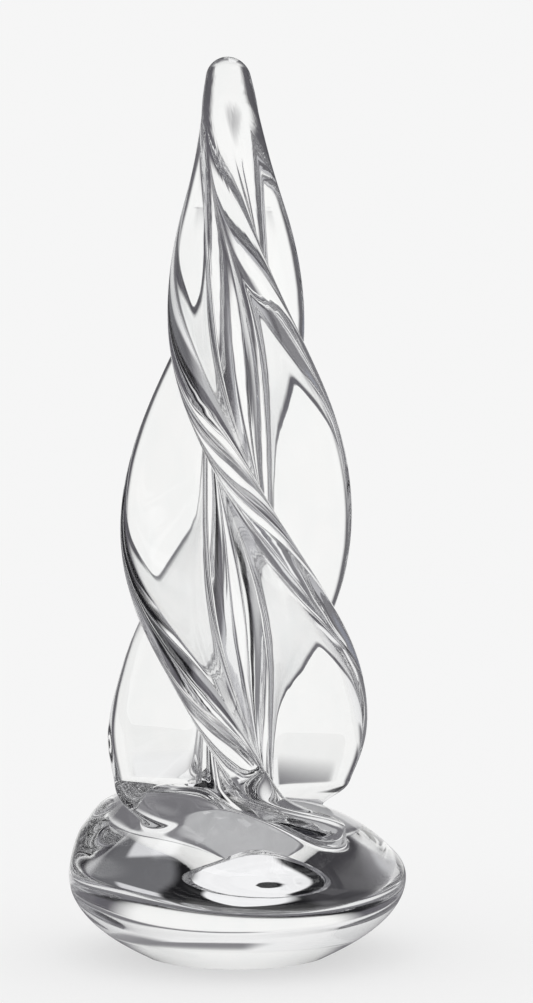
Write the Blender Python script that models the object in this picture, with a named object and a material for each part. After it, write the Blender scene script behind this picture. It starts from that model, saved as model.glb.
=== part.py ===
"""Glass tree sculpture: a domed foot, a core that ends in a finger tip, and four twisted fins.

The whole outline at any height is one four-armed cross, rounded off towards a circle at the tip and
sunk in a lop-sided dome at the foot. The foot is everything below the waist, the fins are the four
quarters above it, and the core runs up the middle and comes out above the fins as the tip. Units are
metres, +Z is up, and the origin is the centre of the polished resting face.
"""

import math

import bmesh
import bpy
import numpy as np

# Heights
HEIGHT = 0.254
WAIST_HEIGHT = 0.047
FIN_TOP_HEIGHT = 0.231
TIP_RADIUS = 0.0065
TIP_SLOPE = math.radians(10.2)
TIP_JOIN = HEIGHT - TIP_RADIUS * (1 - math.sin(TIP_SLOPE))
FUSED_GAP = 0.0003

# Radius of the foot's dome, of its fuller left side and of its lower front, as (height, radius)
BOWL = ((0.000, 0.0264), (0.004, 0.0338), (0.009, 0.0408), (0.014, 0.0453), (0.020, 0.0479))
DOME = (
    *BOWL, (0.026, 0.0468), (0.030, 0.0432), (0.0345, 0.0378), (0.0385, 0.0310), (0.0405, 0.0262),
    (0.0420, 0.0205), (0.0432, 0.0130), (0.0440, 0.0060), (0.0446, -0.0020),
)
FULL_DOME = (
    *BOWL, (0.026, 0.0479), (0.030, 0.0472), (0.0345, 0.0454), (0.0385, 0.0424), (0.0425, 0.0384),
    (0.0445, 0.0340), (0.0457, 0.0270), (0.0463, 0.0160), (0.0467, 0.0020),
)
LOW_DOME = (
    (0.000, 0.0264), (0.004, 0.0338), (0.009, 0.0412), (0.0135, 0.0460), (0.0180, 0.0479),
    (0.0230, 0.0465), (0.0265, 0.0432), (0.0310, 0.0372), (0.0345, 0.0312), (0.0370, 0.0255),
    (0.0390, 0.0190), (0.0403, 0.0130), (0.0412, 0.0060), (0.0418, -0.0020),
)
FULL_SIDE = math.radians(165)
FULL_SIDE_REACH = math.radians(60)
LOW_SIDE = math.radians(-70)
LOW_SIDE_REACH = math.radians(75)
CREASE = 0.0020

# Reach of the fins from the axis, down to their round toes sunk in the dome, as (height, radius)
REACH = (
    (0.030, 0.0270), (0.033, 0.0290), (0.036, 0.0310), (0.0385, 0.0325), (0.041, 0.0338), (0.044, 0.0346),
    (0.047, 0.0347), (0.052, 0.0353), (0.060, 0.0368), (0.075, 0.0375), (0.090, 0.0375), (0.111, 0.0355),
    (0.133, 0.0323), (0.158, 0.0280), (0.182, 0.0222), (0.206, 0.0161), (0.222, 0.0118), (0.234, 0.0094),
    (0.241, 0.0079), (TIP_JOIN, TIP_RADIUS * math.cos(TIP_SLOPE)),
)

# Each fin's toe reaches this much further than the others, from the toe's top downwards
TOE_REACH = (-0.0012, 0.0, 0.0, 0.0085)
TOE_TOP = 0.056
TOE_LENGTH = 0.014
TOE_BOTTOM = 0.030

# Radius at the bottom of the grooves between the fins, as (height, radius)
GROOVE = (
    (0.030, 0.0114), (0.047, 0.0114), (0.052, 0.0111), (0.075, 0.0107), (0.133, 0.0100), (0.182, 0.0092),
    (0.206, 0.0088), (0.222, 0.0085), (0.234, 0.0083), (0.241, 0.0078),
    (TIP_JOIN, TIP_RADIUS * math.cos(TIP_SLOPE)),
)

# Fins: half thickness and root fillet at the waist and at the top
HALF_THICKNESS_LOW = 0.0062
HALF_THICKNESS_TOP = 0.0042
ROOT_FILLET = 0.0060
FIN_COUNT = 4

# Twist: the first fin points along +X at FACING_HEIGHT, and the foot is wrung round a little more
FACING_HEIGHT = 0.059
TWIST_PER_METRE = math.radians(1200)
FOOT_WRING = math.radians(20)
WRING_TOP = 0.048
WRING_BOTTOM = 0.039
LOWEST_TWIST = 0.022

# The axis wanders a little along X, and the drawn-out tip leans to one side, as (height, shift)
LEAN = (
    (0.000, 0.0), (0.030, 0.0), (0.049, -0.0006), (0.077, 0.0007), (0.110, 0.0002),
    (0.150, 0.0003), (0.200, -0.0005), (0.230, -0.0016), (HEIGHT, -0.0027),
)

# The core lies this far inside the grooves
CORE_INSET = 0.0014

# Facets
FILLET_FACETS = 2
FLANK_FACETS = 2
EDGE_FACETS = 3
FOOT_FACETS = 14
ROOT_FACETS = 5
FIN_ROWS = 36
CORE_ROWS = 36
TIP_ROWS = 5
FOOT_ROW_HEIGHTS = (
    0.0, 0.0016, 0.004, 0.007, 0.0105, 0.0145, 0.018, 0.0215, 0.0245, 0.027, 0.0295, 0.0315, 0.0333, 0.035,
    0.0364, 0.0376, 0.0387, 0.0396, 0.0404, 0.0411, 0.0418, 0.0425, 0.0432, 0.0439, 0.0446, 0.0453, 0.0459,
    0.0464, WAIST_HEIGHT,
)


def curve_through(points):
    """A natural cubic spline through (height, value) points, as a function of height."""
    heights, values = np.array(points).T
    last = len(heights) - 1
    step = np.diff(heights)
    slope = np.diff(values) / step
    system = np.eye(last + 1)
    target = np.zeros(last + 1)
    for i in range(1, last):
        system[i, i - 1 : i + 2] = step[i - 1], 2 * (step[i - 1] + step[i]), step[i]
        target[i] = 6 * (slope[i] - slope[i - 1])
    bend = np.linalg.solve(system, target)

    def value_at(height):
        i = int(np.clip(np.searchsorted(heights, height) - 1, 0, last - 1))
        above = heights[i + 1] - height
        below = height - heights[i]
        cubic = (bend[i] * above**3 + bend[i + 1] * below**3) / (6 * step[i])
        low = values[i] / step[i] - bend[i] * step[i] / 6
        high = values[i + 1] / step[i] - bend[i + 1] * step[i] / 6
        return float(cubic + low * above + high * below)

    return value_at


dome_profiles = [(curve_through(profile), profile[-1][0]) for profile in (DOME, FULL_DOME, LOW_DOME)]
spline_reach = curve_through(REACH)
spline_groove = curve_through(GROOVE)
lean_at = curve_through(LEAN)


def tip_radius(height):
    """The round end of the finger tip, a ball that the taper runs into."""
    return math.sqrt(max(TIP_RADIUS**2 - (height - HEIGHT + TIP_RADIUS) ** 2, 0.0))


def reach_at(height):
    return tip_radius(height) if height > TIP_JOIN else spline_reach(max(height, TOE_BOTTOM))


def groove_at(height):
    return tip_radius(height) if height > TIP_JOIN else spline_groove(max(height, TOE_BOTTOM))


def core_radius(height):
    return groove_at(height) - CORE_INSET


def ease(share):
    """An S-shaped step from 0 to 1."""
    share = min(max(share, 0.0), 1.0)
    return share**2 * (3 - 2 * share)


def twist_at(height):
    """Angle of the first fin at a height. The glass turns steadily, and faster just above the foot."""
    height = max(height, LOWEST_TWIST)
    wring = FOOT_WRING * ease((WRING_TOP - height) / (WRING_TOP - WRING_BOTTOM))
    return TWIST_PER_METRE * (FACING_HEIGHT - height) + wring


def half_thickness_at(height):
    share = min(max((height - WAIST_HEIGHT) / (FIN_TOP_HEIGHT - WAIST_HEIGHT), 0.0), 1.0)
    return HALF_THICKNESS_LOW + (HALF_THICKNESS_TOP - HALF_THICKNESS_LOW) * share


def arc(centre, radius, start, end, facets):
    """Points along an arc in the plane, ends included, with the angles in degrees."""
    turns = np.radians(np.linspace(start, end, facets + 1))
    return np.stack([centre[0] + radius * np.cos(turns), centre[1] + radius * np.sin(turns)], axis=1)


def half_arm(reach, half, fillet):
    """Half of one arm of the cross, from the groove at 45 degrees to the middle of the arm's end.

    It is a root fillet, a flat flank and a round edge, with the arm lying along +X.
    """
    middle = half + fillet
    root = arc((middle, middle), fillet, 225, 270, FILLET_FACETS)
    edge = arc((reach - half, 0.0), half, 90, 0, EDGE_FACETS)
    flank = np.linspace(root[-1], edge[0], FLANK_FACETS + 1)[1:-1]
    return np.concatenate([root, flank, edge])


def arm_radius(turns, reach, half, fillet):
    """Radius of a cross at angles from an arm's middle: a round edge, a flat flank and a root fillet."""
    middle = half + fillet
    centre = reach - half
    edge = centre * np.cos(turns) + np.sqrt(np.maximum(half**2 - (centre * np.sin(turns)) ** 2, 0.0))
    flank = half / np.maximum(np.sin(turns), 1e-6)
    across = middle * (np.cos(turns) + np.sin(turns))
    root = across - np.sqrt(np.maximum(across**2 - 2 * middle**2 + fillet**2, 0.0))
    inner = np.where(turns > math.atan2(half, middle), root, flank)
    return np.where(turns > math.atan2(half, centre), inner, edge)


def near_side(turns, side, reach):
    """A bump of 1 at one side of the tree that fades to 0 as a cosine squared."""
    away = np.abs((turns - side + math.pi) % (2 * math.pi) - math.pi)
    return np.cos(np.minimum(away / reach, 1.0) * math.pi / 2) ** 2


def dome_radius(height, turns):
    """Radius of the dome alone: its usual profile, mixed with the other two towards their sides."""
    usual, full, low = (profile(min(height, top)) for profile, top in dome_profiles)
    radius = usual + (full - usual) * near_side(turns, FULL_SIDE, FULL_SIDE_REACH)
    return radius + (low - usual) * near_side(turns, LOW_SIDE, LOW_SIDE_REACH)


def half_turns(height, reach, half, fillet):
    """Angles from an arm's middle, from the groove at 45 degrees to 0, that the outline is drawn at.

    Above the waist they are the corners of the arm. In the foot they are finer, and even under the toes.
    """
    corners = half_arm(reach, half, fillet)
    turns = np.arctan2(corners[:, 1], corners[:, 0])
    if height > WAIST_HEIGHT:
        return turns
    lengths = np.linalg.norm(np.diff(corners, axis=0), axis=1)
    way = np.concatenate([[0.0], np.cumsum(lengths)]) / lengths.sum()
    share = np.linspace(0.0, 1.0, FOOT_FACETS + 1)
    on_fins = ease((height - 0.036) / (WAIST_HEIGHT - 0.036))
    return on_fins * np.interp(share, way, turns) + (1 - on_fins) * math.radians(45) * (1 - share)


def quarter_outline(height, fin):
    """The outline of one fin's quarter at a height, from one groove to the next, with the arm along +X.

    The arm is mixed with a circle so that the groove has its own radius, and it is joined to the dome by
    the smooth maximum of the two radii.
    """
    reach = reach_at(height)
    half = min(half_thickness_at(height), 0.3 * reach)
    fillet = min(ROOT_FILLET, reach - 2 * half)
    fin_reach = reach + TOE_REACH[fin] * ease((TOE_TOP - height) / TOE_LENGTH)
    turns = half_turns(height, fin_reach, half, fillet)
    share = (reach - groove_at(height)) / (reach - float(arm_radius(math.radians(45), reach, half, fillet)))
    radius = share * arm_radius(turns, fin_reach, half, fillet) + (1 - share) * reach
    turns = np.concatenate([-turns, turns[:-1][::-1]])
    radius = np.concatenate([radius, radius[:-1][::-1]])
    if height < WAIST_HEIGHT:
        dome = dome_radius(height, turns + fin_turn(height, fin))
        crease = CREASE * ease((WAIST_HEIGHT - height) / 0.003)
        joined = (radius + dome + np.sqrt((radius - dome) ** 2 + crease**2)) / 2
        radius = joined if height > TOE_BOTTOM else dome
    return radius[:, None] * np.stack([np.cos(turns), np.sin(turns)], axis=1)


def fin_turn(height, fin):
    """Angle of a fin at a height."""
    return twist_at(height) + fin * 2 * math.pi / FIN_COUNT


def placed(outline, height, fin):
    """An outline turned to a fin's place at a height, as points in space."""
    turn = fin_turn(height, fin)
    x = lean_at(height) + outline[:, 0] * math.cos(turn) - outline[:, 1] * math.sin(turn)
    y = outline[:, 0] * math.sin(turn) + outline[:, 1] * math.cos(turn)
    return np.stack([x, y, np.full(len(x), height)], axis=1)


def whole_ring(height):
    """The full outline at a height, of all four quarters."""
    quarters = [placed(quarter_outline(height, fin)[:-1], height, fin) for fin in range(FIN_COUNT)]
    return np.concatenate(quarters)


def core_ring(height):
    """A circle of the core's radius, with as many points as the full outline."""
    outline = quarter_outline(height, 0)[:-1]
    rim = core_radius(height) * outline / np.linalg.norm(outline, axis=1)[:, None]
    return np.concatenate([placed(rim, height, fin) for fin in range(FIN_COUNT)])


def fin_ring(height, fin):
    """One quarter of the outline, closed round the core and clear of the neighbouring quarters."""
    outer = quarter_outline(height, fin)
    groove = np.linalg.norm(outer[0])
    edge_turn = math.degrees(FUSED_GAP / 2 / groove)
    for end, side in ((0, -1), (-1, 1)):
        turn = math.radians(side * (45 - edge_turn))
        outer[end] = groove * np.array([math.cos(turn), math.sin(turn)])
    root = arc((0.0, 0.0), core_radius(height) + FUSED_GAP, 45 - edge_turn, edge_turn - 45, ROOT_FACETS)
    return placed(np.concatenate([outer, root]), height, fin)


def clear_glass(name):
    material = bpy.data.materials.new(name)
    material.use_nodes = True
    shader = material.node_tree.nodes["Principled BSDF"]
    shader.inputs["Base Color"].default_value = (0.95, 0.96, 0.97, 1.0)
    shader.inputs["Roughness"].default_value = 0.02
    shader.inputs["Metallic"].default_value = 0.0
    shader.inputs["Transmission Weight"].default_value = 1.0
    shader.inputs["IOR"].default_value = 1.52
    return material


def loft(name, rings, material):
    """One closed solid through a stack of rings, lowest first, with a flat face at each end."""
    shape = bmesh.new()
    loops = [[shape.verts.new(point) for point in ring] for ring in rings]
    for low, high in zip(loops, loops[1:]):
        for i in range(len(low)):
            after = (i + 1) % len(low)
            shape.faces.new((low[i], low[after], high[after], high[i]))
    shape.faces.new(loops[0][::-1])
    shape.faces.new(loops[-1])
    mesh = bpy.data.meshes.new(name)
    shape.to_mesh(mesh)
    shape.free()
    mesh.shade_smooth()
    mesh.set_sharp_from_angle(angle=math.radians(40))
    mesh.materials.append(material)
    piece = bpy.data.objects.new(name, mesh)
    piece.parent = stand
    parts.objects.link(piece)
    return piece


for old in list(bpy.data.objects):
    bpy.data.objects.remove(old)

parts = bpy.data.collections.new("glass_tree")
bpy.context.scene.collection.children.link(parts)

# The stand point is the centre of the polished resting face
stand = bpy.data.objects.new("stand_point", None)
parts.objects.link(stand)

# Foot: a heavy lop-sided dome with the fins' four round toes sunk in it, ground flat underneath
loft("foot", [whole_ring(height) for height in FOOT_ROW_HEIGHTS], clear_glass("foot_glass"))

# Core: a slim rod inside the fins, which swells above them into the round finger tip
core_bottom = WAIST_HEIGHT + FUSED_GAP
tip_bottom = FIN_TOP_HEIGHT + FUSED_GAP
core_rings = [core_ring(height) for height in np.linspace(core_bottom, tip_bottom, CORE_ROWS)]
core_rings += [whole_ring(height) for height in np.linspace(tip_bottom, TIP_JOIN, TIP_ROWS)]
for turn in np.linspace(TIP_SLOPE, math.radians(82), TIP_ROWS)[1:]:
    core_rings.append(whole_ring(HEIGHT - TIP_RADIUS * (1 - math.sin(turn))))
loft("core", core_rings, clear_glass("core_glass"))

# Fins: four blades with round edges, wound round the core a quarter turn apart
fin_glass = clear_glass("fin_glass")
fin_heights = np.linspace(core_bottom, FIN_TOP_HEIGHT, FIN_ROWS)
for fin in range(FIN_COUNT):
    loft(f"fin_{fin + 1}", [fin_ring(height, fin) for height in fin_heights], fin_glass)
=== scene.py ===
import bpy
import numpy as np
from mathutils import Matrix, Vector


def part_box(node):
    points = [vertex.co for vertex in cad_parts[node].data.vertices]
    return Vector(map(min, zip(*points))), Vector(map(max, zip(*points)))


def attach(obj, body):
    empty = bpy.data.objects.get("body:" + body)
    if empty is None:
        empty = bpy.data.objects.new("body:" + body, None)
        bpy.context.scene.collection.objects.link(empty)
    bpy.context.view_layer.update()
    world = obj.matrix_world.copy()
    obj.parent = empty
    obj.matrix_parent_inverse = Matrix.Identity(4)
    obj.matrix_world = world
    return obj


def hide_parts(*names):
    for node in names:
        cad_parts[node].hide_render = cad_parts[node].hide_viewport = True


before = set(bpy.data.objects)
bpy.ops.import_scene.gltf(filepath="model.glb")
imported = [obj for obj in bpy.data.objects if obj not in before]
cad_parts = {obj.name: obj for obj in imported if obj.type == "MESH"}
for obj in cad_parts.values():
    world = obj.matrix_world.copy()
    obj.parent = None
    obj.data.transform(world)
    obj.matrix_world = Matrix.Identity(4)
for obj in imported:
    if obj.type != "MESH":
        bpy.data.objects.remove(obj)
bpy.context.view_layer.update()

# Foot
# The heavy domed gather that the tree stands on, drawn up into four roots that run into the fins.
# Solid colourless glass, shaped hot with wet paddles, then ground and polished flat underneath.

TREE_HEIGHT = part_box("core")[1][2]
RIM_RADIUS = -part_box("foot")[0][1]
WAIST_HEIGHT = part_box("foot")[1][2]
FIN_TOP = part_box("fin_1")[1][2]
TIP_BALL = 0.0065
TIP_SLOPE = np.radians(10.2)
TIP_JOIN = TREE_HEIGHT - TIP_BALL * (1 - np.sin(TIP_SLOPE))

# Radius of the foot's dome, of its fuller left side and of its lower front, as (height, radius) in metres
BOWL = [(0.000, 0.0264), (0.004, 0.0338), (0.009, 0.0408), (0.014, 0.0453), (0.020, 0.0479)]
DOME = np.array([
    *BOWL, (0.026, 0.0468), (0.030, 0.0432), (0.0345, 0.0378), (0.0385, 0.0310), (0.0405, 0.0262),
    (0.0420, 0.0205), (0.0432, 0.0130), (0.0440, 0.0060), (0.0446, -0.0020)])
FULL_DOME = np.array([
    *BOWL, (0.026, 0.0479), (0.030, 0.0472), (0.0345, 0.0454), (0.0385, 0.0424), (0.0425, 0.0384),
    (0.0445, 0.0340), (0.0457, 0.0270), (0.0463, 0.0160), (0.0467, 0.0020)])
LOW_DOME = np.array([
    (0.000, 0.0264), (0.004, 0.0338), (0.009, 0.0412), (0.0135, 0.0460), (0.0180, 0.0479),
    (0.0230, 0.0465), (0.0265, 0.0432), (0.0310, 0.0372), (0.0345, 0.0312), (0.0370, 0.0255),
    (0.0390, 0.0190), (0.0403, 0.0130), (0.0412, 0.0060), (0.0418, -0.0020)])
FULL_SIDE, FULL_REACH = np.radians(165), np.radians(60)
LOW_SIDE, LOW_REACH = np.radians(-70), np.radians(75)
CREASE = 0.0020
CREASE_FADE = 0.003
# Radius of the fins out to their edges, with their round toes sunk in the dome
REACH = np.array([
    (0.030, 0.0270), (0.033, 0.0290), (0.036, 0.0310), (0.0385, 0.0325), (0.041, 0.0338), (0.044, 0.0346),
    (0.047, 0.0347), (0.052, 0.0353), (0.060, 0.0368), (0.075, 0.0375), (0.090, 0.0375), (0.111, 0.0355),
    (0.133, 0.0323), (0.158, 0.0280), (0.182, 0.0222), (0.206, 0.0161), (0.222, 0.0118), (0.234, 0.0094),
    (0.241, 0.0079), (TIP_JOIN, TIP_BALL * np.cos(TIP_SLOPE)),
])
# Each fin's toe reaches this much further than the others, from the toe's top downwards
TOE_REACH = np.array([-0.0012, 0.0, 0.0, 0.0085])
TOE_TOP = 0.056
TOE_LENGTH = 0.014
TOE_BOTTOM = REACH[0, 0]
# Radius at the bottom of the grooves between the fins
GROOVE = np.array([
    (0.030, 0.0114), (0.047, 0.0114), (0.052, 0.0111), (0.075, 0.0107), (0.133, 0.0100), (0.182, 0.0092),
    (0.206, 0.0088), (0.222, 0.0085), (0.234, 0.0083), (0.241, 0.0078),
    (TIP_JOIN, TIP_BALL * np.cos(TIP_SLOPE)),
])
HALF_THICKNESS_LOW = 0.0062
HALF_THICKNESS_TOP = 0.0042
THICKEST_SHARE = 0.3
ROOT_FILLET = 0.0060
FACING_HEIGHT = 0.059
TWIST_PER_METRE = np.radians(1200)
FOOT_WRING = np.radians(20)
WRING_TOP = 0.048
WRING_BOTTOM = 0.039
LOWEST_TWIST = 0.022
# Sideways wander of the axis along X
LEAN = np.array([
    (0.000, 0.0), (0.030, 0.0), (0.049, -0.0006), (0.077, 0.0007), (0.110, 0.0002),
    (0.150, 0.0003), (0.200, -0.0005), (0.230, -0.0016), (0.254, -0.0027),
])
# Tool marks: waves along the fins, most near the foot. Cords: streaks in the glass that run up the fins.
# Both begin above the waist, and the marks fade out again up the tree.
MARK_HEIGHT = 0.000010
MARK_LENGTHS = (0.0083, 0.0137)
CORD_HEIGHT = 0.000004
CORD_COUNTS = (53, 79, 103)
MARK_BOTTOM, MARK_RISE = 0.050, 0.020
MARK_TOP, MARK_FADE = 0.150, 0.080
HALF_COLUMNS = 72
COLUMNS = 4 * 2 * HALF_COLUMNS
# Below this height the columns are evenly spread, and towards the waist they come to follow the fins
EVEN_TOP = 0.036
RING_SMOOTHING = 2.2


def spline_through(knots):
    """A natural cubic spline: the smoothest curve of height through the knots."""
    heights, values = knots.T
    step = np.diff(heights)
    slope = np.diff(values) / step
    system = np.eye(len(heights))
    inner = np.arange(1, len(heights) - 1)
    system[inner, inner - 1] = step[:-1]
    system[inner, inner] = 2 * (step[:-1] + step[1:])
    system[inner, inner + 1] = step[1:]
    bend = np.linalg.solve(system, np.concatenate([[0], 6 * np.diff(slope), [0]]))

    def value_at(z):
        i = np.clip(np.searchsorted(heights, z) - 1, 0, len(step) - 1)
        above, below, h = heights[i + 1] - z, z - heights[i], step[i]
        cubic = (bend[i] * above**3 + bend[i + 1] * below**3) / (6 * h)
        low = (values[i] / h - bend[i] * h / 6) * above
        return cubic + low + (values[i + 1] / h - bend[i + 1] * h / 6) * below

    return value_at


DOME_PROFILES = [(spline_through(knots), knots[-1, 0]) for knots in (DOME, FULL_DOME, LOW_DOME)]
reach_spline = spline_through(REACH)
groove_spline = spline_through(GROOVE)
lean = spline_through(LEAN)
# A hair smaller than the solid foot
BODY_SCALE = 0.9995 * RIM_RADIUS / DOME_PROFILES[0][0](np.linspace(0, DOME[-1, 0], 2000)).max()


def with_round_tip(spline, z):
    """The spline up to where the tip ball joins it, and above that the ball's own radius."""
    rise = np.clip(z - TREE_HEIGHT + TIP_BALL, 0, TIP_BALL)
    return np.where(z > TIP_JOIN, np.sqrt(TIP_BALL**2 - rise**2), spline(np.maximum(z, TOE_BOTTOM)))


def ease(share):
    """An S-shaped step from 0 to 1."""
    share = np.clip(share, 0, 1)
    return share**2 * (3 - 2 * share)


def twist(z):
    """Angle of the first fin: a steady turn, and an S-shaped extra turn just above the foot."""
    z = np.maximum(z, LOWEST_TWIST)
    wrung = ease((WRING_TOP - z) / (WRING_TOP - WRING_BOTTOM))
    return TWIST_PER_METRE * (FACING_HEIGHT - z) + FOOT_WRING * wrung


def near_side(turn, side, reach):
    """A bump of 1 at one side of the tree that fades to 0 as a cosine squared."""
    away = np.abs(np.angle(np.exp(1j * (turn - side))))
    return np.cos(np.minimum(away / reach, 1) * np.pi / 2) ** 2


def arm_radius(turn, reach, half, fillet):
    """Radius of a cross at an angle from an arm's middle: a round edge, a straight flank, a root fillet."""
    middle, centre = half + fillet, reach - half
    edge = centre * np.cos(turn) + np.sqrt(np.maximum(half**2 - (centre * np.sin(turn)) ** 2, 0))
    flank = half / np.maximum(np.sin(turn), 1e-6)
    across = middle * (np.cos(turn) + np.sin(turn))
    root = across - np.sqrt(np.maximum(across**2 - 2 * middle**2 + fillet**2, 0))
    past_edge, past_flank = turn > np.arctan2(half, centre), turn > np.arctan2(half, middle)
    return np.where(past_flank, root, np.where(past_edge, flank, edge))


def arm_turns(reach, half, fillet):
    """Angles from an arm's middle that walk its half outline at an even pace, from the root to the edge."""
    middle, centre = half + fillet, reach - half
    fillet_length, flank_length = fillet * np.pi / 4, np.maximum(centre - middle, 0)
    way = np.linspace(0, 1, HALF_COLUMNS + 1)
    walked = way * (fillet_length + flank_length + half * np.pi / 2)
    root = middle * (1 + 1j) + fillet * np.exp(1j * (1.25 * np.pi + walked / np.maximum(fillet, 1e-9)))
    flank = middle + walked - fillet_length + 1j * half
    edge = centre + half * np.exp(1j * (np.pi / 2 - (walked - fillet_length - flank_length) / half))
    on_edge = np.where(walked < fillet_length + flank_length, flank, edge)
    return np.angle(np.where(walked < fillet_length, root, on_edge))


def dome_radius(z, turn):
    """Radius of the dome alone: its usual profile, mixed with the other two towards their sides."""
    usual, full, low = (spline(np.minimum(z, top)) for spline, top in DOME_PROFILES)
    towards_full, towards_low = near_side(turn, FULL_SIDE, FULL_REACH), near_side(turn, LOW_SIDE, LOW_REACH)
    return usual + (full - usual) * towards_full + (low - usual) * towards_low


def surface_marks(z):
    """Height of the tool marks and cords at each point of a ring.

    Tool marks are waves of height on the flanks, out of step from fin to fin. Cords are waves round the
    edges and grooves that wander slowly with height.
    """
    column = np.arange(COLUMNS)[None, :]
    round_ring = 2 * np.pi * column / COLUMNS
    fin = column // (2 * HALF_COLUMNS)
    flank = np.sin(np.pi * column / HALF_COLUMNS) ** 2
    marks = sum(np.sin(2 * np.pi * z / length + 2.1 * fin + 900 * length) for length in MARK_LENGTHS)
    marks = MARK_HEIGHT * flank * marks * ease((MARK_TOP - z) / MARK_FADE)
    cords = sum(np.sin(count * round_ring + 0.9 * count * z / TREE_HEIGHT) for count in CORD_COUNTS)
    return (marks + CORD_HEIGHT * (1 - flank) * cords) * ease((z - MARK_BOTTOM) / MARK_RISE)


def skin_points(z):
    """The fused glass surface: one ring of points round the axis for each height.

    A ring is four arms with a groove of its own radius between them, joined to the dome by the smooth
    maximum of the two radii, then smoothed along the ring and shifted to its height.
    """
    z = z[:, None, None]
    reach, groove = with_round_tip(reach_spline, z), with_round_tip(groove_spline, z)
    share_up = np.clip((z - WAIST_HEIGHT) / (FIN_TOP - WAIST_HEIGHT), 0, 1)
    half = HALF_THICKNESS_LOW + (HALF_THICKNESS_TOP - HALF_THICKNESS_LOW) * share_up
    half = np.minimum(half, THICKEST_SHARE * reach)
    fillet = np.minimum(ROOT_FILLET, reach - 2 * half)
    mix = (reach - groove) / (reach - arm_radius(np.pi / 4, reach, half, fillet))
    fin_reach = reach + TOE_REACH[:, None] * ease((TOE_TOP - z) / TOE_LENGTH)
    even = np.linspace(np.pi / 4, 0, HALF_COLUMNS + 1)
    on_fins = ease((z - EVEN_TOP) / (WAIST_HEIGHT - EVEN_TOP))
    turn = on_fins * arm_turns(fin_reach, half, fillet) + (1 - on_fins) * even
    radius = mix * arm_radius(turn, fin_reach, half, fillet) + (1 - mix) * reach
    turn = np.concatenate([-turn, turn[:, :, -2:0:-1]], axis=2) + np.pi / 2 * np.arange(4)[:, None]
    radius = np.concatenate([radius, radius[:, :, -2:0:-1]], axis=2).reshape(len(z), COLUMNS)
    z = z[:, :, 0]
    turn = turn.reshape(len(z), COLUMNS) + twist(z)
    dome = dome_radius(z, turn)
    crease = CREASE * ease((WAIST_HEIGHT - z) / CREASE_FADE)
    joined = 0.5 * (radius + dome + np.sqrt((radius - dome) ** 2 + crease**2))
    radius = np.where(z < TOE_BOTTOM, dome, np.where(z < WAIST_HEIGHT, joined, radius))
    ring = radius * BODY_SCALE * np.exp(1j * turn)
    taps = np.arange(-6, 7)
    weights = np.exp(-0.5 * (taps / RING_SMOOTHING) ** 2)
    ring = sum(w * np.roll(ring, t, axis=1) for t, w in zip(taps, weights / weights.sum()))
    along = np.roll(ring, -1, axis=1) - np.roll(ring, 1, axis=1)
    ring = ring - 1j * along / np.abs(along) * surface_marks(z)
    return np.stack([ring.real + lean(z), ring.imag, np.broadcast_to(z, ring.shape)], axis=2)


def skin(z, reach_of_step=2e-5):
    """Points of the skin and its outward normals, the cross product of the two surface slopes."""
    z = np.minimum(z, TREE_HEIGHT - 2e-6)
    points = skin_points(z)
    along = np.roll(points, -1, axis=1) - np.roll(points, 1, axis=1)
    top = np.minimum(z + reach_of_step, TREE_HEIGHT - 1e-6)
    up = skin_points(top) - skin_points(z - reach_of_step)
    normals = np.cross(along, up)
    return points, normals / np.linalg.norm(normals, axis=2, keepdims=True)


def glass_piece(name, points, faces, loop_normals, seam):
    """A closed mesh of quads and caps. Loop normals of zero leave that corner to Blender."""
    mesh = bpy.data.meshes.new(name)
    mesh.from_pydata(points.tolist(), [], faces)
    mesh.shade_smooth()
    mesh.materials.append(clear_glass)
    mesh.materials.append(fused_seam)
    mesh.polygons.foreach_set("material_index", seam.astype(np.int32))
    mesh.normals_split_custom_set(loop_normals.tolist())
    piece = bpy.data.objects.new(name, mesh)
    bpy.context.scene.collection.objects.link(piece)
    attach(piece, "root")
    return piece


def wall_faces(rows, columns, closed=True):
    """Quads between neighbouring rows of a ring grid, wound to face outwards."""
    i, j = np.meshgrid(np.arange(rows - 1), np.arange(columns if closed else columns - 1), indexing="ij")
    after = (j + 1) % columns
    corners = [i * columns + j, i * columns + after, (i + 1) * columns + after, (i + 1) * columns + j]
    return np.stack(corners, axis=2).reshape(-1, 4)


def cap_faces(rows, columns):
    """The closing faces of a ring grid: its first row facing down and its last row facing up."""
    ring = np.arange(columns)
    return [ring[::-1].tolist(), (ring + (rows - 1) * columns).tolist()]


def foot_heights(count):
    """Heights up to the waist that are an even distance apart along the dome's two profiles together."""
    fine = np.linspace(0, WAIST_HEIGHT, 4000)
    travelled = np.zeros(len(fine))
    for spline, top in DOME_PROFILES[:2]:
        radius = np.maximum(spline(np.minimum(fine, top)), 0)
        travelled[1:] += np.cumsum(np.hypot(np.diff(fine), np.diff(radius)))
    return np.interp(np.linspace(0, travelled[-1], count), travelled, fine)


# Colourless glass with faint grey-green striae drawn out along the tree
clear_glass = bpy.data.materials.new("clear_glass")
clear_glass.use_nodes = True
glass_nodes, glass_links = clear_glass.node_tree.nodes, clear_glass.node_tree.links
shader = glass_nodes["Principled BSDF"]
shader.inputs["Roughness"].default_value = 0.0
shader.inputs["Transmission Weight"].default_value = 1.0
shader.inputs["IOR"].default_value = 1.52
glass_place = glass_nodes.new("ShaderNodeTexCoord")
drawn_out = glass_nodes.new("ShaderNodeMapping")
drawn_out.inputs["Scale"].default_value = (150, 150, 25)
glass_links.new(glass_place.outputs["Object"], drawn_out.inputs["Vector"])
striae = glass_nodes.new("ShaderNodeTexNoise")
striae.inputs["Scale"].default_value = 1.0
striae.inputs["Detail"].default_value = 2.0
glass_links.new(drawn_out.outputs["Vector"], striae.inputs["Vector"])
tint = glass_nodes.new("ShaderNodeValToRGB")
tint.color_ramp.elements[0].position = 0.35
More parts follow.
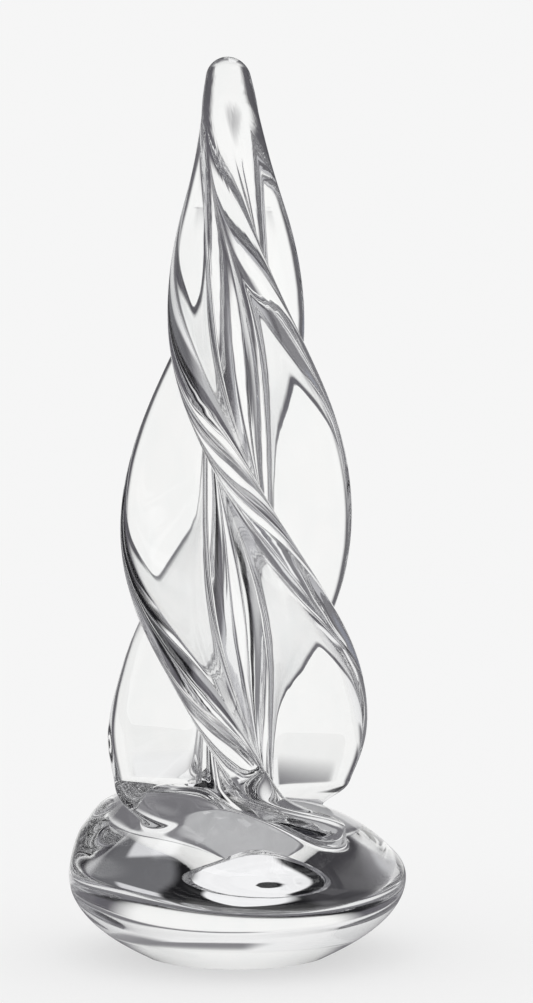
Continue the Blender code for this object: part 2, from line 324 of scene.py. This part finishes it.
tint.color_ramp.elements[0].color = (0.972, 0.980, 0.982, 1)
tint.color_ramp.elements[1].position = 0.60
tint.color_ramp.elements[1].color = (1.0, 1.0, 1.0, 1)
glass_links.new(striae.outputs["Fac"], tint.inputs["Fac"])
glass_links.new(tint.outputs["Color"], shader.inputs["Base Color"])

# Fused glass has no surface inside it to see, so the faces on a seam have no opacity
fused_seam = bpy.data.materials.new("fused_seam")
fused_seam.use_nodes = True
fused_seam.node_tree.nodes["Principled BSDF"].inputs["Alpha"].default_value = 0.0

# Under the foot a flat resting ring surrounds the punt, a shallow hollow ground where the rod was cut off
PUNT_RADIUS = 0.0250
PUNT_DEPTH = 0.0056
PUNT_CROWN = np.array([0.0, -0.0060, 0.0])
PUNT_ROWS = 16
PUNT_MIDDLE_SHARE = 0.002
DOME_ROWS = 156

foot_rows = foot_heights(DOME_ROWS)
dome_points, dome_normals = skin(foot_rows)
punt_out = dome_points[:1] / np.linalg.norm(dome_points[:1], axis=2, keepdims=True)
punt_share = np.linspace(PUNT_MIDDLE_SHARE, 1, PUNT_ROWS)[:, None, None]
straight_up = np.array([0.0, 0.0, 1.0])
punt_rise = (1 - punt_share**2) * (PUNT_CROWN + PUNT_DEPTH * straight_up)
punt_points = PUNT_RADIUS * punt_share * punt_out + punt_rise
punt_along = np.roll(punt_points, -1, axis=1) - np.roll(punt_points, 1, axis=1)
punt_normals = np.cross(punt_along, np.gradient(punt_points, axis=0))
punt_normals /= np.linalg.norm(punt_normals, axis=2, keepdims=True)
foot_points = np.concatenate([punt_points, dome_points])
foot_normals = np.concatenate([punt_normals, dome_normals]).reshape(-1, 3)
foot_wall = wall_faces(len(foot_points), COLUMNS)
foot_loops = foot_normals[foot_wall]
foot_loops[(PUNT_ROWS - 1) * COLUMNS : PUNT_ROWS * COLUMNS] = -straight_up
foot_loops = np.concatenate([
    foot_loops.reshape(-1, 3), np.tile(-straight_up, (COLUMNS, 1)), np.tile(straight_up, (COLUMNS, 1))])
foot_seam = np.concatenate([np.zeros(len(foot_wall)), [0, 1]])
foot_faces = foot_wall.tolist() + cap_faces(len(foot_points), COLUMNS)
foot_points = foot_points.reshape(-1, 3)
foot = glass_piece("foot_glass", foot_points, foot_faces, foot_loops, foot_seam)
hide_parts("foot")

# Core and finger tip
# The slim rod up the middle that the fins are wound on, drawn out above them into a round finger tip.
# The same colourless glass, fused to the fins all along, so only the tip shows a surface.

CORE_INSET = 0.0014
ROD_ROWS = 60
TIP_ROWS = 50


def axis_points(z):
    """The leaning axis of the tree: one point for each height."""
    return np.stack([lean(z), 0 * z, z], axis=1)[:, None, :]


rod_rows = np.linspace(WAIST_HEIGHT, FIN_TOP, ROD_ROWS)
rod_skin = skin_points(rod_rows)
rod_axis = axis_points(rod_rows)
rod_out = (rod_skin - rod_axis) / np.linalg.norm(rod_skin - rod_axis, axis=2, keepdims=True)
rod_points = rod_axis + rod_out * (groove_spline(rod_rows) - CORE_INSET)[:, None, None]
tip_turns = np.linspace(TIP_SLOPE, np.pi / 2, TIP_ROWS)[1:-1]
tip_rows = np.concatenate([
    np.linspace(FIN_TOP, TIP_JOIN, TIP_ROWS), TREE_HEIGHT - TIP_BALL * (1 - np.sin(tip_turns))])
tip_points, tip_normals = skin(tip_rows)
core_points = np.concatenate([rod_points, tip_points]).reshape(-1, 3)
core_normals = np.concatenate([0 * rod_points, tip_normals]).reshape(-1, 3)
core_height = len(rod_rows) + len(tip_rows)
core_wall = wall_faces(core_height, COLUMNS)
core_loops = np.concatenate([
    core_normals[core_wall].reshape(-1, 3),
    np.zeros((COLUMNS, 3)),
    np.tile(straight_up, (COLUMNS, 1)),
])
rod_faces = len(rod_rows) * COLUMNS
core_seam = np.concatenate([np.arange(len(core_wall)) < rod_faces, [1, 0]])
core_faces = core_wall.tolist() + cap_faces(core_height, COLUMNS)
core = glass_piece("core_and_tip_glass", core_points, core_faces, core_loops, core_seam)
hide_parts("core")

# Fins
# Four blades with round fire-polished edges, wound a quarter turn apart round the core.
# The same glass, pinched out hot between paddles, twisted, and fused to the core and the foot.

FIN_ROWS = 400
ROOT_STEPS = 8

fin_rows = np.linspace(WAIST_HEIGHT, FIN_TOP, FIN_ROWS)
crown_points, crown_normals = skin(fin_rows)
crown_axis = axis_points(fin_rows)
root_radius = (groove_spline(fin_rows) - CORE_INSET)[:, None]
outer_count = 2 * HALF_COLUMNS + 1
fin_columns = outer_count + ROOT_STEPS + 1
fin_wall = wall_faces(FIN_ROWS, fin_columns)
fin_seam_columns = np.arange(fin_columns) >= outer_count - 1
for quarter in range(4):
    picked = (np.arange(outer_count) + quarter * 2 * HALF_COLUMNS) % COLUMNS
    turns = twist(fin_rows)[:, None] + np.pi / 2 * (quarter + np.linspace(0.5, -0.5, ROOT_STEPS + 1))
    root_points = crown_axis + np.stack(
        [root_radius * np.cos(turns), root_radius * np.sin(turns), 0 * turns], axis=2)
    fin_points = np.concatenate([crown_points[:, picked], root_points], axis=1).reshape(-1, 3)
    fin_normals = np.concatenate([crown_normals[:, picked], 0 * root_points], axis=1).reshape(-1, 3)
    fin_seam = np.concatenate([np.tile(fin_seam_columns, FIN_ROWS - 1), [1, 1]])
    wall_normals = fin_normals[fin_wall] * (1 - fin_seam[:-2, None, None])
    fin_loops = np.concatenate([wall_normals.reshape(-1, 3), np.zeros((2 * fin_columns, 3))])
    fin_faces = fin_wall.tolist() + cap_faces(FIN_ROWS, fin_columns)
    fin = glass_piece(f"fin_{quarter + 1}_glass", fin_points, fin_faces, fin_loops, fin_seam)
    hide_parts(f"fin_{quarter + 1}")

# Floor
# A plain pale sheet under the tree. It gives most of its own even light, so that the glass throws only a
# faint soft shadow, and the glass looks past it at the studio.

FLOOR_SIZE = 6.0
PAPER = (0.92, 0.92, 0.92, 1)
SHADOW_STRENGTH = 0.36

half_floor = FLOOR_SIZE / 2
floor_mesh = bpy.data.meshes.new("floor")
floor_mesh.from_pydata(
    [(-half_floor, -half_floor, 0), (half_floor, -half_floor, 0),
     (half_floor, half_floor, 0), (-half_floor, half_floor, 0)], [], [(0, 1, 2, 3)])
floor = bpy.data.objects.new("floor", floor_mesh)
bpy.context.scene.collection.objects.link(floor)
floor.visible_transmission = False
floor.visible_glossy = False
floor_paint = bpy.data.materials.new("floor_paint")
floor_paint.use_nodes = True
paint = floor_paint.node_tree.nodes["Principled BSDF"]
paint.inputs["Base Color"].default_value = (*np.multiply(PAPER[:3], SHADOW_STRENGTH), 1)
paint.inputs["Emission Color"].default_value = PAPER
paint.inputs["Emission Strength"].default_value = 1 - SHADOW_STRENGTH
paint.inputs["Roughness"].default_value = 1.0
paint.inputs["Specular IOR Level"].default_value = 0.0
floor_mesh.materials.append(floor_paint)

# Studio light
# Even white light for the floor. The glass sees a dim room with a white panel behind the tree, paler panels
# beside and in front of it, soft boxes to the right and overhead, a black gap above the white panel, and
# a floor of painted light and painted shade.

# Grey of the room by elevation in degrees
ROOM = [(-90, 0.16), (-45, 0.18), (-25, 0.12), (-12, 0.10), (0, 0.11), (10, 0.15), (16, 0.14), (24, 0.07),
        (52, 0.04), (90, 0.04)]
ROOM_TINT = np.array([1.0, 0.97, 1.07])
# Patches of the room as left, right, bottom and top in degrees, then edge softness and colour
PATCHES = [
    # The wall behind the white panel and the black gap above it
    (-46, 46, -2, 17, 3, (0.11, 0.105, 0.12)),
    (-60, 60, 16, 57, 3, (0.004, 0.004, 0.005)),
    # To the right, a grey wall with two soft boxes, then the panels to the right and to the left
    (64, 132, 18, 66, 6, (0.16, 0.16, 0.17)),
    (88, 104, 35, 58, 2, (0.75, 0.75, 0.77)),
    (120, 160, 48, 58, 3, (0.70, 0.70, 0.72)),
    (66, 112, -16, 16, 4, (0.50, 0.50, 0.51)),
    (-112, -64, -16, 11, 4, (0.48, 0.48, 0.50)),
    # The dark ceiling with its soft box
    (-400, 400, 57, 100, 3, (0.010, 0.010, 0.011)),
    (-66, 62, 60, 89, 2, (0.95, 0.95, 0.96)),
    # The panel in front of the tree, from both ends of the compass
    (-400, -150, -16, 24, 6, (0.85, 0.85, 0.85)),
    (106, 400, -16, 24, 6, (0.85, 0.85, 0.85)),
]
# Cards that only the glass sees: the white panel, and the floor in painted light and painted shade. Each is
# given as two opposite corners, then how far it fades in from the sides, from the near or lower edge and
# from the far or upper edge as shares of its size, and colour
PANEL_AND_PAINTED_FLOOR_CARDS = [
    # The white panel behind the tree
    ((-0.420, 0.600, -0.030), (0.420, 0.600, 0.320), (0.22, 0.01, 0.18), (0.985, 0.985, 0.975)),
    # The floor as the glass sees it, all painted light and painted shade: the whole floor in painted dim
    # grey, its painted bright end below the panel, two painted lit strips, a painted glow close behind the
    # foot, a dim bluish painted patch to the left in front, the painted lit right side and the painted
    # contact shadow
    ((-0.420, -0.250, -0.0006), (0.420, 0.600, -0.0006), (0.01, 0.01, 0.01), (0.19, 0.187, 0.20)),
    ((-0.420, 0.250, 0.000), (0.420, 0.600, 0.000), (0.22, 0.60, 0.01), (0.93, 0.93, 0.92)),
    ((-0.160, 0.076, 0.0002), (0.060, 0.225, 0.0002), (0.12, 0.14, 0.15), (0.93, 0.93, 0.93)),
    ((-0.160, 0.170, 0.0003), (-0.005, 0.480, 0.0003), (0.16, 0.15, 0.30), (0.93, 0.93, 0.93)),
    ((-0.045, 0.016, -0.0002), (0.040, 0.066, -0.0002), (0.25, 0.15, 0.35), (0.50, 0.50, 0.51)),
    ((-0.220, -0.170, 0.000), (-0.050, -0.020, 0.000), (0.25, 0.25, 0.25), (0.24, 0.25, 0.29)),
    ((0.075, -0.700, 0.0001), (0.800, 0.300, 0.0001), (0.20, 0.10, 0.35), (0.75, 0.75, 0.75)),
    # Painted contact shadow: a near-black sheet under the foot, where there is only shade
    ((-0.034, -0.034, -0.0003), (0.034, 0.034, -0.0003), (0.20, 0.20, 0.20), (0.02, 0.02, 0.025)),
]


def math_node(tree, operation, a, b=None):
    """The output of a new math node, whose inputs are numbers or other outputs."""
    node = tree.nodes.new("ShaderNodeMath")
    node.operation = operation
    for socket, value in zip(node.inputs, (a, b)):
        if isinstance(value, (int, float)):
            socket.default_value = value
        elif value is not None:
            tree.links.new(value, socket)
    return node.outputs[0]


def step_at(tree, value, low, high):
    """A soft step from 0 to 1 as the value goes from low to high."""
    node = tree.nodes.new("ShaderNodeMapRange")
    node.interpolation_type = "SMOOTHSTEP"
    tree.links.new(value, node.inputs["Value"])
    node.inputs["From Min"].default_value = low
    node.inputs["From Max"].default_value = high
    return node.outputs["Result"]


def faded_span(tree, value, low_fade, high_fade):
    """A share of 1 that fades to 0 where the value nears 0 and where it nears 1."""
    rise = step_at(tree, value, 0, low_fade)
    return math_node(tree, "MULTIPLY", rise, step_at(tree, value, 1, 1 - high_fade))


# Each card glows with its own colour: the white panel as a light, the floor cards as painted light and
# painted shade
for low, high, (side_fade, low_fade, high_fade), colour in PANEL_AND_PAINTED_FLOOR_CARDS:
    card_mesh = bpy.data.meshes.new("card")
    card_mesh.from_pydata(
        [low, (high[0], low[1], low[2]), high, (low[0], high[1], high[2])], [], [(0, 1, 2, 3)])
    card_mesh.uv_layers.new()
    card = bpy.data.objects.new("card", card_mesh)
    bpy.context.scene.collection.objects.link(card)
    card.visible_camera = False
    card.visible_diffuse = False
    card.visible_shadow = False
    panel_and_painted_floor_paint = bpy.data.materials.new("panel_and_painted_floor_paint")
    panel_and_painted_floor_paint.use_nodes = True
    tree = panel_and_painted_floor_paint.node_tree
    place = tree.nodes.new("ShaderNodeSeparateXYZ")
    tree.links.new(tree.nodes.new("ShaderNodeTexCoord").outputs["UV"], place.inputs[0])
    across, upward = place.outputs["X"], place.outputs["Y"]
    sides = faded_span(tree, across, side_fade, side_fade)
    ends = faded_span(tree, upward, low_fade, high_fade)
    light = tree.nodes.new("ShaderNodeEmission")
    light.inputs["Color"].default_value = (*colour, 1)
    faded = tree.nodes.new("ShaderNodeMixShader")
    tree.links.new(math_node(tree, "MULTIPLY", sides, ends), faded.inputs["Fac"])
    tree.links.new(tree.nodes.new("ShaderNodeBsdfTransparent").outputs[0], faded.inputs[1])
    tree.links.new(light.outputs[0], faded.inputs[2])
    tree.links.new(faded.outputs[0], tree.nodes["Material Output"].inputs["Surface"])
    card_mesh.materials.append(panel_and_painted_floor_paint)

world = bpy.data.worlds.new("studio")
bpy.context.scene.world = world
world.use_nodes = True
sky = world.node_tree
nodes, links = sky.nodes, sky.links
background = nodes["Background"]
where = nodes.new("ShaderNodeTexCoord")
axes = nodes.new("ShaderNodeSeparateXYZ")
links.new(where.outputs["Generated"], axes.inputs[0])


def world_mix(share, a, b):
    """Colour a where the share is 0 and colour b where it is 1."""
    node = nodes.new("ShaderNodeMix")
    node.data_type = "RGBA"
    links.new(share, node.inputs["Factor"])
    for socket, value in ((node.inputs["A"], a), (node.inputs["B"], b)):
        if isinstance(value, tuple):
            socket.default_value = (*value[:3], 1)
        else:
            links.new(value, socket)
    return node.outputs["Result"]


azimuth = math_node(sky, "DEGREES", math_node(sky, "ARCTAN2", axes.outputs["X"], axes.outputs["Y"]))
elevation = math_node(sky, "DEGREES", math_node(sky, "ARCSINE", axes.outputs["Z"]))
room = nodes.new("ShaderNodeValToRGB")
links.new(math_node(sky, "ADD", math_node(sky, "DIVIDE", elevation, 180.0), 0.5), room.inputs["Fac"])
while len(room.color_ramp.elements) < len(ROOM):
    room.color_ramp.elements.new(0.5)
for stop, (angle, grey) in zip(room.color_ramp.elements, ROOM):
    stop.position = angle / 180 + 0.5
    stop.color = (*(grey * ROOM_TINT), 1)
seen_by_glass = room.outputs["Color"]
for left, right, bottom, top, soft, colour in PATCHES:
    shares = []
    for angle, start, stop in ((azimuth, left, right), (elevation, bottom, top)):
        after_start = step_at(sky, angle, start - soft, start + soft)
        after_stop = step_at(sky, angle, stop - soft, stop + soft)
        shares.append(math_node(sky, "SUBTRACT", after_start, after_stop))
    seen_by_glass = world_mix(math_node(sky, "MULTIPLY", *shares), seen_by_glass, colour)
path = nodes.new("ShaderNodeLightPath")
through_glass = math_node(
    sky, "MAXIMUM", path.outputs["Is Glossy Ray"], path.outputs["Is Transmission Ray"])
seen_by_all = world_mix(through_glass, (1.0, 1.0, 1.0), seen_by_glass)
links.new(world_mix(path.outputs["Is Camera Ray"], seen_by_all, PAPER), background.inputs["Color"])

# Camera
# A long lens level with the middle of the tree, framed as the photograph is.

CAMERA_DISTANCE = 0.66
PICTURE_PIXELS = 1003
PIXELS_PER_METRE = 3520
FILM_HEIGHT = 36
AIM = np.array([0.0084, 0.0, 0.1277])

camera_data = bpy.data.cameras.new("camera")
camera_data.sensor_fit = "VERTICAL"
camera_data.sensor_height = FILM_HEIGHT
camera_data.lens = FILM_HEIGHT * CAMERA_DISTANCE * PIXELS_PER_METRE / PICTURE_PIXELS
camera = bpy.data.objects.new("camera", camera_data)
bpy.context.scene.collection.objects.link(camera)
camera.location = AIM - np.array([0.0, CAMERA_DISTANCE, 0.0])
camera.rotation_euler = (np.pi / 2, 0.0, 0.0)
bpy.context.scene.camera = camera

scene = bpy.context.scene
scene.view_settings.view_transform = "Standard"
scene.cycles.max_bounces = 48
scene.cycles.transmission_bounces = 32
scene.cycles.glossy_bounces = 40
scene.cycles.transparent_max_bounces = 48
